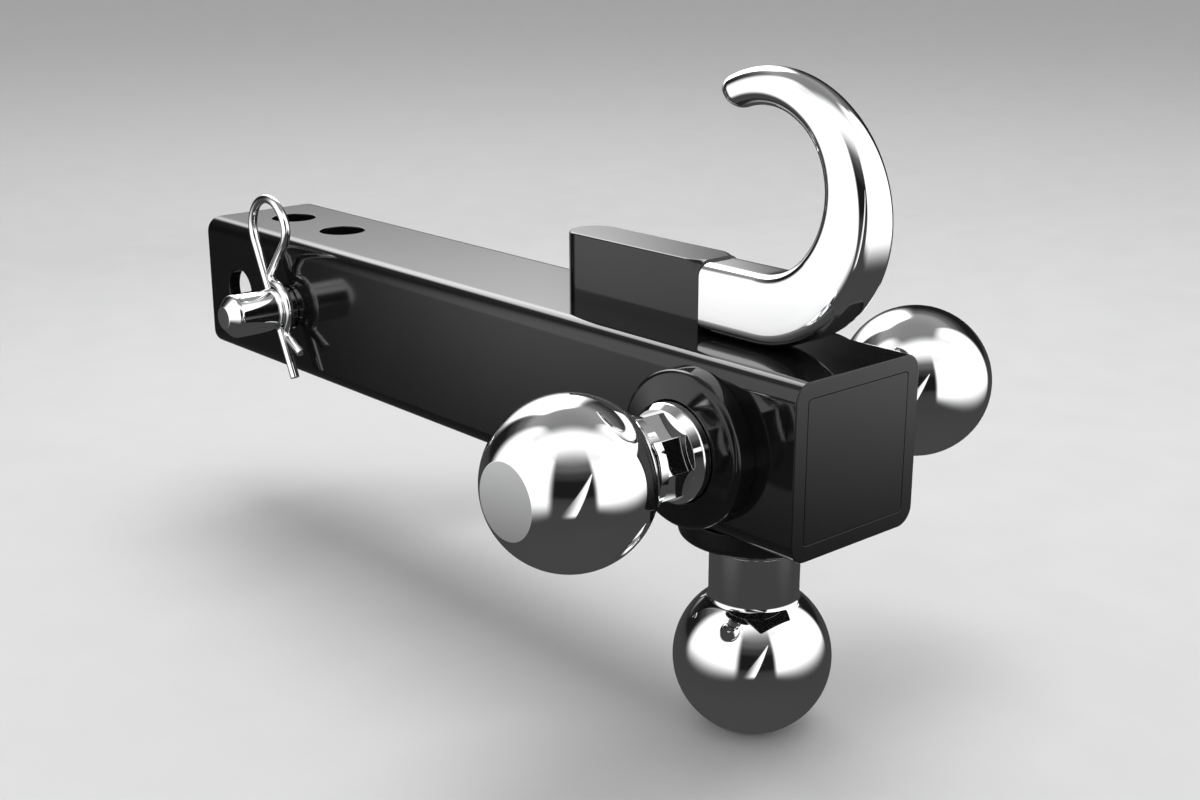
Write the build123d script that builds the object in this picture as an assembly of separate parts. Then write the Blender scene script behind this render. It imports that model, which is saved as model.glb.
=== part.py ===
from build123d import *
from math import acos, atan2, cos, degrees, radians, sin, sqrt
import os

# Ball mount with three tow balls and a tow hook, for a 2 in receiver.
# +X runs from the receiver end to the ball head, +Z up to the hook, -Y to the front ball.
# The origin is where the shank's axis crosses the axis of the hitch pin.

# Shank: 2 in square tube, 3/16 in wall.
SHANK = 50.8
HALF = SHANK / 2
WALL = 4.76
CORNER_R = 5.6
INNER_R = 1.2
SHANK_X0 = -57.4
SHANK_X1 = 252.1
END_CHAMFER = 0.5

# Cross holes, through both pairs of walls at each of two stations.
CROSS_HOLE_R = 8.335
FREE_STATION_X = -34.5
PIN_STATION_X = 0.0

# Ball head: three balls on one station, with a tapped block inside the tube.
HEAD_X = 215.5
BALL_OFFSET = 71.6
BALL_R = 47.625 / 2
BALL_FLAT_R = 10.6
NECK_R = 13.5
NECK_FILLET = 1.6
COLLAR_R = 14.45
COLLAR_FRONT = 36.1
COLLAR_BACK = 32.6
COLLAR_TOP = 38.5
COLLAR_TOP_R = 12.9
WRENCH_FLATS = 23.3
WRENCH_SIDES = 8
WRENCH_TURN = -3.5
WRENCH_END = 48.2
WRENCH_RUN_OUT = 0.6
STEM_R = 9.5
STEM_END = 13.0
STEM_CHAMFER = 1.2
STEM_HOLE_R = 9.9
THREAD_CLEARANCE = 0.05
HUB_LENGTH = 50.0
HUB_CLEARANCE = 0.10

# Round bosses between the tube and the ball collars: a sloping face round a washer seat.
BOSS_R = 22.8
BOSS_EDGE = 32.3
BOSS_EDGE_ROUND = 2.2
BOSS_FACE = 33.7
BOSS_SEAT_R = 14.75
BOSS_SEAT = 30.6
LOCK_WASHER_R = 14.2
LOCK_WASHER_SPLIT = 1.2

# End cap, set flush inside the tube.
CAP_THICKNESS = 6.35
CAP_CLEARANCE = 0.12
CAP_CHAMFER = 0.15

# Tow hook and the block that carries it on top of the tube.
HOOK_WIDTH = 16.6
HOOK_BOTTOM = 25.9
HOOK_TOP = 46.3
HOOK_BEND_X = 218.5
HOOK_OUTER_R = 38.4
HOOK_INNER_X = 218.4
HOOK_INNER_R = 22.4
HOOK_TIP_ANGLE = 115.0
HOOK_TIP_SWING = 8.5
HOOK_EDGE_R = 4.0
TENON_R = 5.0
TENON_X0 = 157.0
BLOCK_X0 = 136.4
BLOCK_X1 = 198.4
BLOCK_TOP = 46.9
BLOCK_TOP_ROUND = 0.8
BLOCK_BLEND = 6.0
BOLT_STATIONS_X = (146.5, 176.0)
BOLT_R = 3.97
BOLT_TIP_Z = 37.5
BOLT_HEAD_AF = 13.0
BOLT_HEAD_H = 5.3
FLAT_WASHER_R = 8.5
FLAT_WASHER_T = 1.6

# Bent hitch pin, 5/8 in, and the spring clip that keeps it in.
PIN_R = 15.875 / 2
PIN_TIP_Y = -52.0
PIN_TIP_R = 4.2
PIN_TIP_LENGTH = 3.5
PIN_BEND_Y = 45.5
PIN_BEND_R = 15.0
PIN_HANDLE = 38.0
PIN_END_ROUND = 2.0
CLIP_Y = -30.6
CLIP_LEAN = 25.5
CLIP_WIRE_R = 1.65
CLIP_HOLE_R = 1.95
CLIP_LEG_DOWN = 26.7
CLIP_LEG_UP = 26.5
CLIP_LOOP_R = 11.8
CLIP_SHOULDER_R = 8.0
CLIP_WAIST_R = 2.4
CLIP_WAIST_SIDE = 3.75
CLIP_BOW_R = 10.0
CLIP_TAIL = 9.0

os.makedirs("parts", exist_ok=True)


def save(shape, name):
    """Write one named piece, labelled with its own name."""
    shape.label = name
    export_step(shape, "parts/" + name + ".step")


def along_y(radius, y0, y1, x=0.0, z=0.0):
    """Cylinder along Y between two positions."""
    plane = Plane(origin=(x, y0, z), x_dir=(1, 0, 0), z_dir=(0, 1, 0))
    return extrude(plane * Circle(radius), amount=y1 - y0)


def along_z(radius, z0, z1, x=0.0, y=0.0):
    """Cylinder along Z between two heights."""
    return extrude(Plane(origin=(x, y, z0)) * Circle(radius), amount=z1 - z0)


def along_x(radius, x0, x1, z=0.0):
    """Cylinder along X between two positions."""
    plane = Plane(origin=(x0, 0, z), x_dir=(0, 1, 0), z_dir=(1, 0, 0))
    return extrude(plane * Circle(radius), amount=x1 - x0)


def turned(points):
    """Ring or shaft turned about the head axis Z from a closed outline of (radius, height)."""
    outline = Polyline(*[(r, 0, z) for r, z in points], close=True)
    return revolve(make_face(outline), axis=Axis.Z)


def at_head(shape, side):
    """Stand a piece built along +Z on the front, rear or bottom of the ball head."""
    if side == "front":
        turn = Rot(90, 0, 0)
    elif side == "rear":
        turn = Rot(-90, 0, 0)
    else:
        turn = Rot(180, 0, 0)
    return Pos(HEAD_X, 0, 0) * turn * shape


def square_prism(half, corner_r, x0, x1):
    """Square bar along X with rounded long edges."""
    plane = Plane(origin=(x0, 0, 0), x_dir=(0, 1, 0), z_dir=(1, 0, 0))
    return extrude(plane * RectangleRounded(2 * half, 2 * half, corner_r), amount=x1 - x0)


# Shank tube
tube = square_prism(HALF, CORNER_R, SHANK_X0, SHANK_X1)
tube = tube - square_prism(HALF - WALL, INNER_R, SHANK_X0 - 1, SHANK_X1 + 1)
for station in (FREE_STATION_X, PIN_STATION_X):
    tube = tube - along_y(CROSS_HOLE_R, -HALF - 1, HALF + 1, x=station)
    tube = tube - along_z(CROSS_HOLE_R, -HALF - 1, HALF + 1, x=station)
tube = tube - along_y(STEM_HOLE_R, -HALF - 1, HALF + 1, x=HEAD_X)
tube = tube - along_z(STEM_HOLE_R, -HALF - 1, 0, x=HEAD_X)
for station in BOLT_STATIONS_X:
    tube = tube - along_z(BOLT_R + 0.3, 0, HALF + 1, x=station)
save(tube, "shank_tube")

# Tapped block inside the head, which takes the three ball stems
hub_half = HALF - WALL - HUB_CLEARANCE
hub = square_prism(hub_half, INNER_R + 0.6, HEAD_X - HUB_LENGTH / 2, HEAD_X + HUB_LENGTH / 2)
hub_bore_r = STEM_R + THREAD_CLEARANCE
drill_end = STEM_END - 1.5
hub = hub - along_y(hub_bore_r, -HALF, -drill_end, x=HEAD_X)
hub = hub - along_y(hub_bore_r, drill_end, HALF, x=HEAD_X)
hub = hub - along_z(hub_bore_r, -HALF, -drill_end, x=HEAD_X)
save(hub, "head_block")

# End cap, flush with the tube's end
cap_half = HALF - WALL - CAP_CLEARANCE
cap = square_prism(cap_half, INNER_R, SHANK_X1 - CAP_THICKNESS, SHANK_X1)
cap = chamfer(cap.faces().sort_by(Axis.X)[-1].edges(), CAP_CHAMFER)
save(cap, "end_cap")

# Bosses: a rounded edge, then a face that rises gently to the recess of the washer's seat
boss = turned([
    (STEM_HOLE_R, HALF),
    (BOSS_R, HALF),
    (BOSS_R, BOSS_EDGE),
    (BOSS_SEAT_R, BOSS_FACE),
    (BOSS_SEAT_R, BOSS_SEAT),
    (STEM_HOLE_R, BOSS_SEAT),
])
rim_edge = boss.edges().filter_by(GeomType.CIRCLE).sort_by(lambda e: e.radius)[-2:]
boss = fillet(rim_edge.sort_by(Axis.Z)[-1], BOSS_EDGE_ROUND)

# Split lock washer under each ball collar
washer = turned([
    (STEM_HOLE_R, BOSS_SEAT),
    (LOCK_WASHER_R, BOSS_SEAT),
    (LOCK_WASHER_R, COLLAR_BACK),
    (STEM_HOLE_R, COLLAR_BACK),
])
split = Pos(0, LOCK_WASHER_R - 2, BOSS_SEAT) * Rot(0, 12, 0) * Box(LOCK_WASHER_SPLIT, 12, 12)
washer = washer - split


def tow_ball(wrench_flats):
    """Ball with a flat crown, round neck, collar and threaded stem, forged in one."""
    ball = Pos(0, 0, BALL_OFFSET) * Sphere(BALL_R)
    crown = BALL_OFFSET + sqrt(BALL_R ** 2 - BALL_FLAT_R ** 2)
    ball = ball - Pos(0, 0, crown + BALL_R) * Box(4 * BALL_R, 4 * BALL_R, 2 * BALL_R)
    joint_z = BALL_OFFSET - sqrt(BALL_R ** 2 - NECK_R ** 2)
    ball = ball + along_z(NECK_R, COLLAR_FRONT - 0.5, joint_z + 4)
    root = ball.edges().filter_by(GeomType.CIRCLE)
    root = root.filter_by(lambda e: abs(e.radius - NECK_R) < 0.01 and abs(e.center().Z - joint_z) < 0.5)
    ball = fillet(root, NECK_FILLET)
    if wrench_flats:
        flat_r = WRENCH_FLATS / 2
        band = along_z(NECK_R + 1, COLLAR_FRONT - 1, WRENCH_END)
        flats = extrude(RegularPolygon(flat_r, WRENCH_SIDES, major_radius=False, rotation=WRENCH_TURN),
                        amount=WRENCH_END + 5)
        run_out = Pos(0, 0, WRENCH_END) * Cone(flat_r + 0.2, NECK_R + 1, WRENCH_RUN_OUT,
                                               align=(Align.CENTER, Align.CENTER, Align.MIN))
        lead = along_z(NECK_R + 1, WRENCH_END - 0.01, WRENCH_END + WRENCH_RUN_OUT) - run_out
        ball = ball - (band - flats)
        ball = ball - (lead - flats)
        collar_top = [(COLLAR_R, COLLAR_FRONT), (COLLAR_TOP_R, COLLAR_TOP), (0, COLLAR_TOP)]
    else:
        collar_top = [(COLLAR_R, COLLAR_FRONT - 1.1), (COLLAR_R - 1.1, COLLAR_FRONT), (0, COLLAR_FRONT)]
    collar = turned([(0, COLLAR_BACK), (COLLAR_R, COLLAR_BACK)] + collar_top)
    stem = along_z(STEM_R, STEM_END, COLLAR_BACK + 0.5)
    stem = chamfer(stem.edges().sort_by(Axis.Z)[0], STEM_CHAMFER)
    return ball + collar + stem


flatted_ball = tow_ball(True)
plain_ball = tow_ball(False)
for side in ("front", "rear", "bottom"):
    save(at_head(boss, side), side + "_boss")
    save(at_head(washer, side), side + "_lock_washer")
    save(at_head(plain_ball if side == "bottom" else flatted_ball, side), side + "_ball")

# Hook block: round back end, and a front end whose top edges blend into the hook's rounding
block_half = HOOK_WIDTH / 2
blend_x = BLOCK_X1 - BLOCK_BLEND
block_plan = Plane(origin=(0, 0, HALF)) * (
    Pos(BLOCK_X0 + block_half, 0) * Circle(block_half)
    + Pos((BLOCK_X0 + block_half + blend_x) / 2, 0)
    * Rectangle(blend_x - BLOCK_X0 - block_half, HOOK_WIDTH)
)
block = extrude(block_plan, amount=BLOCK_TOP - HALF)
top_edges = block.faces().sort_by(Axis.Z)[-1].edges().sort_by(lambda e: e.center().X)[:-1]
block = fillet(top_edges, BLOCK_TOP_ROUND)
block_sections = []
for share, edge in ((0, BLOCK_TOP_ROUND), (0.35, 1.3), (0.7, 2.9), (1, HOOK_EDGE_R)):
    section_plane = Plane(origin=(blend_x + share * BLOCK_BLEND, 0, HALF), x_dir=(0, 1, 0), z_dir=(1, 0, 0))
    block_sections.append(section_plane * RectangleRounded(HOOK_WIDTH, 2 * (BLOCK_TOP - HALF), edge))
block_front = loft(block_sections)
below = Pos(BLOCK_X1, 0, HALF - 20) * Box(4 * BLOCK_BLEND, 2 * HOOK_WIDTH, 40)
block = block + (block_front - below)
shank_z = (HOOK_BOTTOM + HOOK_TOP) / 2
block = block - along_x(TENON_R + 0.05, TENON_X0 - 1, BLOCK_X1 + 1, z=shank_z)
for station in BOLT_STATIONS_X:
    block = block - along_z(BOLT_R + THREAD_CLEARANCE, HALF - 1, BOLT_TIP_Z + 1, x=station)
save(block, "hook_block")


# Hook: a rounded bar whose outer and inner curves are two offset circles, so it thins to the tip
def hook_section(angle, grow=1.0):
    """Cross-section of the bend at an angle from straight down (-90) to past the top (90)."""
    a = radians(angle)
    outer_z = HOOK_BOTTOM + HOOK_OUTER_R
    inner_z = HOOK_TOP + HOOK_INNER_R
    outer = Vector(HOOK_BEND_X + HOOK_OUTER_R * cos(a), 0, outer_z + HOOK_OUTER_R * sin(a))
    inner = Vector(HOOK_INNER_X + HOOK_INNER_R * cos(a), 0, inner_z + HOOK_INNER_R * sin(a))
    out = (outer - inner).normalized()
    thin = 1 - 0.16 * max(0.0, (angle - 60) / 55) ** 1.5
    depth = (outer - inner).length * thin
    swing = (angle + 90) / (HOOK_TIP_ANGLE + 90)
    width = HOOK_WIDTH * (1 - 0.46 * max(0.0, swing - 0.25) / 0.75)
    roundness = min(1.0, max(0.0, (angle + 30) / 125))
    roundness = roundness * roundness * (3 - 2 * roundness)
    edge = HOOK_EDGE_R + (0.485 * min(width, depth) - HOOK_EDGE_R) * roundness
    plane = Plane(origin=outer - out * (depth / 2), x_dir=(0, 1, 0), z_dir=(-out.Z, 0, out.X))
    return plane * RectangleRounded(width * grow, depth * grow, edge * grow)


bend_angles = [-90, -72, -54, -36, -18, 0, 18, 36, 54, 72, 90, 103, HOOK_TIP_ANGLE]
bend = loft([hook_section(a) for a in bend_angles])
tip = loft([hook_section(HOOK_TIP_ANGLE + HOOK_TIP_SWING * sin(radians(t)), cos(radians(t)))
            for t in (0, 30, 52, 68, 80)])
bar_plane = Plane(origin=(BLOCK_X1 + 0.05, 0, shank_z), x_dir=(0, 1, 0), z_dir=(1, 0, 0))
bar = extrude(bar_plane * RectangleRounded(HOOK_WIDTH, HOOK_TOP - HOOK_BOTTOM, HOOK_EDGE_R),
              amount=HOOK_BEND_X - BLOCK_X1 - 0.05)
tenon = along_x(TENON_R, TENON_X0, BLOCK_X1 + 1, z=shank_z)
hook = bar + bend + tip + tenon
hook = hook - along_z(BOLT_R + THREAD_CLEARANCE, HALF, BOLT_TIP_Z + 1, x=BOLT_STATIONS_X[1])
save(hook, "tow_hook")

# Screws that hold the block from inside the tube, with their washers
ceiling = HALF - WALL
bolts = []
flat_washers = []
for station in BOLT_STATIONS_X:
    washer_bottom = ceiling - FLAT_WASHER_T
    head = extrude(Plane(origin=(station, 0, washer_bottom - BOLT_HEAD_H))
                   * RegularPolygon(BOLT_HEAD_AF / 2, 6, major_radius=False), amount=BOLT_HEAD_H)
    shaft = along_z(BOLT_R, washer_bottom - 0.5, BOLT_TIP_Z, x=station)
    shaft = chamfer(shaft.edges().sort_by(Axis.Z)[-1], 0.8)
    bolts.append(head + shaft)
    disc = along_z(FLAT_WASHER_R, washer_bottom, ceiling, x=station)
    flat_washers.append(disc - along_z(BOLT_R + 0.25, 0, HALF, x=station))
save(Compound(children=bolts), "hook_block_screws")
save(Compound(children=flat_washers), "hook_screw_washers")

# Hitch pin: bevelled nose, straight shank, bend and handle hanging in the plane of the clip hole
lean = radians(CLIP_LEAN)
clip_up = Vector(-sin(lean), 0, cos(lean))
clip_side = Vector(cos(lean), 0, sin(lean))
down = clip_up * -1
bend_start = Vector(0, PIN_BEND_Y, 0)
bend_mid = bend_start + Vector(0, PIN_BEND_R * sin(radians(45)), 0) \
    + down * (PIN_BEND_R * (1 - cos(radians(45))))
bend_end = bend_start + Vector(0, PIN_BEND_R, 0) + down * PIN_BEND_R
handle_end = bend_end + down * PIN_HANDLE
pin_path = Line((0, PIN_TIP_Y + PIN_TIP_LENGTH, 0), bend_start) \
    + ThreePointArc(bend_start, bend_mid, bend_end) + Line(bend_end, handle_end)
pin_plane = Plane(origin=(0, PIN_TIP_Y + PIN_TIP_LENGTH, 0), x_dir=(1, 0, 0), z_dir=(0, 1, 0))
pin = sweep(pin_plane * Circle(PIN_R), path=pin_path)
far_end = pin.faces().filter_by(GeomType.PLANE).sort_by(Axis.Z)[0]
pin = fillet(far_end.edges(), PIN_END_ROUND)
nose_plane = Plane(origin=(0, PIN_TIP_Y, 0), x_dir=(1, 0, 0), z_dir=(0, 1, 0))
nose = loft([nose_plane * Circle(PIN_TIP_R), pin_plane * Circle(PIN_R)], ruled=True)
clip_centre = Vector(0, CLIP_Y, 0)
hole_plane = Plane(origin=clip_centre - clip_up * 20, x_dir=(0, 1, 0), z_dir=clip_up)
pin = pin + nose - extrude(hole_plane * Circle(CLIP_HOLE_R), amount=40)
save(pin, "hitch_pin")


# Spring clip: straight leg through the pin, round eye, and an arm that bows round the pin
def clip_point(side, up):
    """Point in the clip's plane, measured from the pin's axis."""
    return clip_centre + clip_side * side + clip_up * up


def clip_arc(centre, radius, start, end):
    """Arc in the clip's plane between two angles in degrees, measured from its side direction."""
    turns = [radians(start), radians((start + end) / 2), radians(end)]
    points = [clip_point(centre[0] + radius * cos(a), centre[1] + radius * sin(a)) for a in turns]
    return ThreePointArc(*points)


shoulder = (2 * CLIP_LOOP_R - CLIP_SHOULDER_R, CLIP_LEG_UP)
waist_side = CLIP_WAIST_SIDE + CLIP_WAIST_R
waist_up = sqrt((CLIP_BOW_R + CLIP_WAIST_R) ** 2 - waist_side ** 2)
waist_angle = degrees(atan2(waist_up, waist_side))
fall_side = waist_side - shoulder[0]
fall_up = waist_up - shoulder[1]
fall_turn = acos((CLIP_SHOULDER_R + CLIP_WAIST_R) / sqrt(fall_side ** 2 + fall_up ** 2))
arm_angle = degrees(atan2(fall_up, fall_side) + fall_turn)
tail_angle = 216.0
leg = Line(clip_point(0, -CLIP_LEG_DOWN), clip_point(0, CLIP_LEG_UP))
eye = clip_arc((CLIP_LOOP_R, CLIP_LEG_UP), CLIP_LOOP_R, 180, 0)
bend_down = clip_arc(shoulder, CLIP_SHOULDER_R, 0, arm_angle)
waist = clip_arc((waist_side, waist_up), CLIP_WAIST_R, arm_angle + 180, waist_angle + 180)
bow = clip_arc((0, 0), CLIP_BOW_R, waist_angle, -waist_angle)
lower_waist = clip_arc((waist_side, -waist_up), CLIP_WAIST_R, 180 - waist_angle, tail_angle)
arm = Line(bend_down @ 1, waist @ 0)
tail_start = lower_waist @ 1
tail_dir = clip_side * -sin(radians(tail_angle)) + clip_up * cos(radians(tail_angle))
tail = Line(tail_start, tail_start + tail_dir * CLIP_TAIL)
clip_route = leg + eye + bend_down + arm + waist + bow + lower_waist + tail
clip_plane = Plane(origin=clip_point(0, -CLIP_LEG_DOWN), x_dir=(0, 1, 0), z_dir=clip_up)
clip = sweep(clip_plane * Circle(CLIP_WIRE_R), path=clip_route)
save(clip, "hitch_clip")
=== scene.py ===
import math

import bpy
import numpy as np
from mathutils import Matrix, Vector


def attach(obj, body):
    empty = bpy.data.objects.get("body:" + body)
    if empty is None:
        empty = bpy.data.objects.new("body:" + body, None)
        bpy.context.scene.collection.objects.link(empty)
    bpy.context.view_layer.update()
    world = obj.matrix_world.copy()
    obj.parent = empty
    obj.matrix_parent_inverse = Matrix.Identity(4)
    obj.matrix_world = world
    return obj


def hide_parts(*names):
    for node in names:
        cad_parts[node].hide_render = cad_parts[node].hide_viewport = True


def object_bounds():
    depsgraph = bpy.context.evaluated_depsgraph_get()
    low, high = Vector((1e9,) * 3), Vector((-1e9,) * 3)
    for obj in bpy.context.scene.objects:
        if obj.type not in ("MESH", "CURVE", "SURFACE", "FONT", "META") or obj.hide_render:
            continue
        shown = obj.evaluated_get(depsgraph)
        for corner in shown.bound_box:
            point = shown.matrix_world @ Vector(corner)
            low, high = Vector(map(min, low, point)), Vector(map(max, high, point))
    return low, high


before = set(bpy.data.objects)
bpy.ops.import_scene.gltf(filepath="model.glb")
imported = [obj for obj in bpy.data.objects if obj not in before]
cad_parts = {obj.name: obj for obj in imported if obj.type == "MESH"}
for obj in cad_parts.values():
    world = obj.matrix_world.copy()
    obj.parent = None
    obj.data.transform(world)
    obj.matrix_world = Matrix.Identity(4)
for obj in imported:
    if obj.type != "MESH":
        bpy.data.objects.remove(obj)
cad_low, cad_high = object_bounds()

# All lengths below are in millimetres until a mesh is made.
MM = 0.001

# Points closer than this many millimetres are welded into one.
WELD = 1.37e-4

# Shank
HALF = 25.4
WALL = 4.76
CORNER_R = 5.6
INNER_R = 1.2
SHANK_X0 = -57.4
SHANK_X1 = 252.1
EDGE = 0.45
SEAM_EDGE = 0.15
CAP_THICKNESS = 6.35
CAP_CLEARANCE = 0.12
CROSS_HOLE_R = 8.335
FREE_X = -34.5
PIN_X = 0.0

# Ball head
HEAD_X = 215.5
BALL_OFFSET = 71.6
BALL_R = 47.625 / 2
BALL_FLAT_R = 10.6
CROWN_ROUND = 0.35
NECK_R = 13.5
NECK_FILLET = 1.6
NECK_ROOT_R = 0.4
NECK_SINK = 0.2
COLLAR_R = 14.45
COLLAR_FRONT = 36.1
COLLAR_BACK = 32.6
COLLAR_TOP = 38.5
COLLAR_TOP_R = 12.9
COLLAR_TOP_EDGE = 0.25
COLLAR_SHOULDER_R = 1.5
COLLAR_FRONT_EDGE = 0.5
COLLAR_BACK_EDGE = 0.3
FLAT_SIDES = 8
FLAT_TURN = -3.5
FLAT_APOTHEM = 11.65
FLAT_CORNER_R = 0.5
WRENCH_END = 48.2
RUN_OUT = 0.6
RUN_OUT_R0 = 11.85
RUN_OUT_R1 = 14.5
BOSS_R = 22.8
BOSS_EDGE = 32.3
BOSS_EDGE_ROUND = 2.2
BOSS_FACE = 33.7
BOSS_SEAT_R = 14.75
BOSS_SEAT = 30.6
BOSS_BORE_R = 9.9
BOSS_SEAT_ROUND = 0.3
BOSS_LIP_ROUND = 0.2
BOSS_FOOT_ROUND = 0.25

# Hook
HOOK_WIDTH = 16.6
HOOK_BOTTOM = 25.9
HOOK_TOP = 46.3
HOOK_BEND_X = 218.5
HOOK_OUTER_R = 38.4
HOOK_INNER_X = 218.4
HOOK_INNER_R = 22.4
HOOK_TIP_ANGLE = 115.0
HOOK_TIP_SWING = 8.5
HOOK_EDGE_R = 4.0
HOOK_GAP = 0.05

# The bend's depth thins from an angle on, its width narrows along its swing, and its edges round off.
HOOK_THIN = 0.16
HOOK_THIN_FROM = 60.0
HOOK_THIN_POWER = 1.5
HOOK_NARROW = 0.46
HOOK_NARROW_FROM = 0.25
HOOK_ROUND_FROM = -30.0
HOOK_ROUND_SPAN = 125.0
HOOK_FULL_ROUND = 0.485

# Block
BLOCK_X0 = 136.4
BLOCK_X1 = 198.4
BLOCK_TOP = 46.9
BLOCK_TOP_ROUND = 0.8
BLOCK_BLEND = 6.0
BLOCK_END_ROUND = 0.3
BLOCK_ROUND_POINTS = 15

# Pin and clip
PIN_R = 15.875 / 2
PIN_TIP_Y = -52.0
PIN_TIP_R = 4.2
PIN_TIP_LENGTH = 3.5
PIN_TIP_ROUND = 0.6
PIN_BEVEL_ROUND = 2.6
PIN_BEND_Y = 45.5
PIN_BEND_R = 15.0
PIN_HANDLE = 38.0
PIN_END_ROUND = 2.0
CLIP_Y = -30.6
CLIP_LEAN = 25.5
CLIP_WIRE_R = 1.65
CLIP_HOLE_R = 1.95
CLIP_HOLE_EDGE = 0.3
CLIP_LEG_DOWN = 26.7
CLIP_LEG_UP = 26.5
CLIP_LOOP_R = 11.8
CLIP_SHOULDER_R = 8.0
CLIP_WAIST_R = 2.4
CLIP_WAIST_SIDE = 3.75
CLIP_BOW_R = 10.0
CLIP_TAIL = 9.0
CLIP_TAIL_ANGLE = 216.0
CLIP_END_ROUND = 0.35
CLIP_ARC_STEP = 0.45

X = np.array([1.0, 0.0, 0.0])
Y = np.array([0.0, 1.0, 0.0])
Z = np.array([0.0, 0.0, 1.0])
LEAN = math.radians(CLIP_LEAN)
CLIP_UP = np.array([-math.sin(LEAN), 0.0, math.cos(LEAN)])
CLIP_SIDE = np.array([math.cos(LEAN), 0.0, math.sin(LEAN)])


def unit(v):
    """Vectors of length one, along the last axis."""
    v = np.asarray(v, float)
    return v / np.maximum(np.linalg.norm(v, axis=-1, keepdims=True), 1e-12)


class Shell:
    """A mesh gathered patch by patch: each face corner keeps the surface's exact normal."""

    def __init__(self):
        self.points = []
        self.faces = []
        self.normals = []
        self.count = 0

    def grid(self, points, normals):
        """Quads between the rows and columns of a patch."""
        points = np.asarray(points, float)
        normals = np.asarray(normals, float)
        rows, cols = points.shape[:2]
        index = np.arange(rows * cols).reshape(rows, cols) + self.count
        quads = np.stack([index[:-1, :-1], index[1:, :-1], index[1:, 1:], index[:-1, 1:]], -1)
        corner = np.stack([normals[:-1, :-1], normals[1:, :-1], normals[1:, 1:], normals[:-1, 1:]], 2)
        self.points.append(points.reshape(-1, 3))
        self.faces.append(quads.reshape(-1, 4))
        self.normals.append(corner.reshape(-1, 4, 3))
        self.count += rows * cols

    def build(self, name):
        """The welded mesh as an object, with every face turned outwards."""
        points = np.concatenate(self.points)
        faces = np.concatenate(self.faces)
        normals = np.concatenate(self.normals)
        _, first, inverse = np.unique(
            np.round(points / WELD).astype(np.int64), axis=0, return_index=True, return_inverse=True
        )
        faces = inverse.reshape(-1)[faces]
        points = points[first]
        p = points[faces]
        flat = np.cross(p[:, 2] - p[:, 0], p[:, 3] - p[:, 1])
        turned = np.einsum("ij,ij->i", flat, normals.mean(1)) < 0
        faces[turned] = faces[turned][:, ::-1]
        normals[turned] = normals[turned][:, ::-1]
        polygons = []
        corners = []
        for face, normal in zip(faces.tolist(), normals.tolist()):
            keep = [k for k in range(4) if face[k] != face[k - 1]]
            if len(keep) > 2:
                polygons.append([face[k] for k in keep])
                corners.extend(normal[k] for k in keep)
        mesh = bpy.data.meshes.new(name)
        mesh.from_pydata((points * MM).tolist(), [], polygons)
        mesh.shade_smooth()
        mesh.normals_split_custom_set(corners)
        obj = bpy.data.objects.new(name, mesh)
        bpy.context.scene.collection.objects.link(obj)
        return obj


def line2(a, b, steps=1):
    """Points and outside normals of a straight stretch of a profile, as (r, h, nr, nh)."""
    a = np.array(a, float)
    b = np.array(b, float)
    t = unit(b - a)
    f = np.linspace(0, 1, steps + 1)[:, None]
    pts = a + (b - a) * f
    return np.hstack([pts, np.tile([-t[1], t[0]], (steps + 1, 1))])


def arc2(centre, radius, start, end, steps):
    """Points and outside normals of an arc of a profile, between two angles in degrees."""
    a = np.radians(np.linspace(start, end, steps + 1))
    s = math.copysign(1.0, end - start)
    pts = np.array(centre, float) + radius * np.stack([np.cos(a), np.sin(a)], -1)
    t = s * np.stack([-np.sin(a), np.cos(a)], -1)
    return np.hstack([pts, np.stack([-t[:, 1], t[:, 0]], -1)])


def rounded2(points, radii, steps=8):
    """A profile through points, whose corners are rounded by radii. Returns its stretches."""
    out = []
    here = np.array(points[0], float)
    for k in range(1, len(points) - 1):
        p = np.array(points[k], float)
        a = unit(p - np.array(points[k - 1], float))
        b = unit(np.array(points[k + 1], float) - p)
        turn = math.atan2(a[0] * b[1] - a[1] * b[0], float(a @ b))
        radius = radii[k - 1]
        if radius <= 0 or abs(turn) < 1e-6:
            out.append(line2(here, p))
            here = p
            continue
        reach = radius * math.tan(abs(turn) / 2)
        start = p - a * reach
        left = np.array([-a[1], a[0]]) * math.copysign(1.0, turn)
        centre = start + left * radius
        first = math.degrees(math.atan2(*(start - centre)[::-1]))
        out.append(line2(here, start))
        out.append(arc2(centre, radius, first, first + math.degrees(turn), steps))
        here = p + b * reach
    out.append(line2(here, np.array(points[-1], float)))
    return out


def lathe(shell, stretches, origin, axis, across, segments=256):
    """Turn profile stretches about an axis."""
    axis = unit(axis)
    across = unit(across)
    other = np.cross(axis, across)
    phi = np.linspace(0, 2 * math.pi, segments + 1)
    radial = np.cos(phi)[:, None] * across + np.sin(phi)[:, None] * other
    for s in stretches:
        pts = np.asarray(origin) + s[:, None, 0:1] * radial + s[:, None, 1:2] * axis
        nrm = s[:, None, 2:3] * radial + s[:, None, 3:4] * axis
        shell.grid(pts, nrm)


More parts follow.
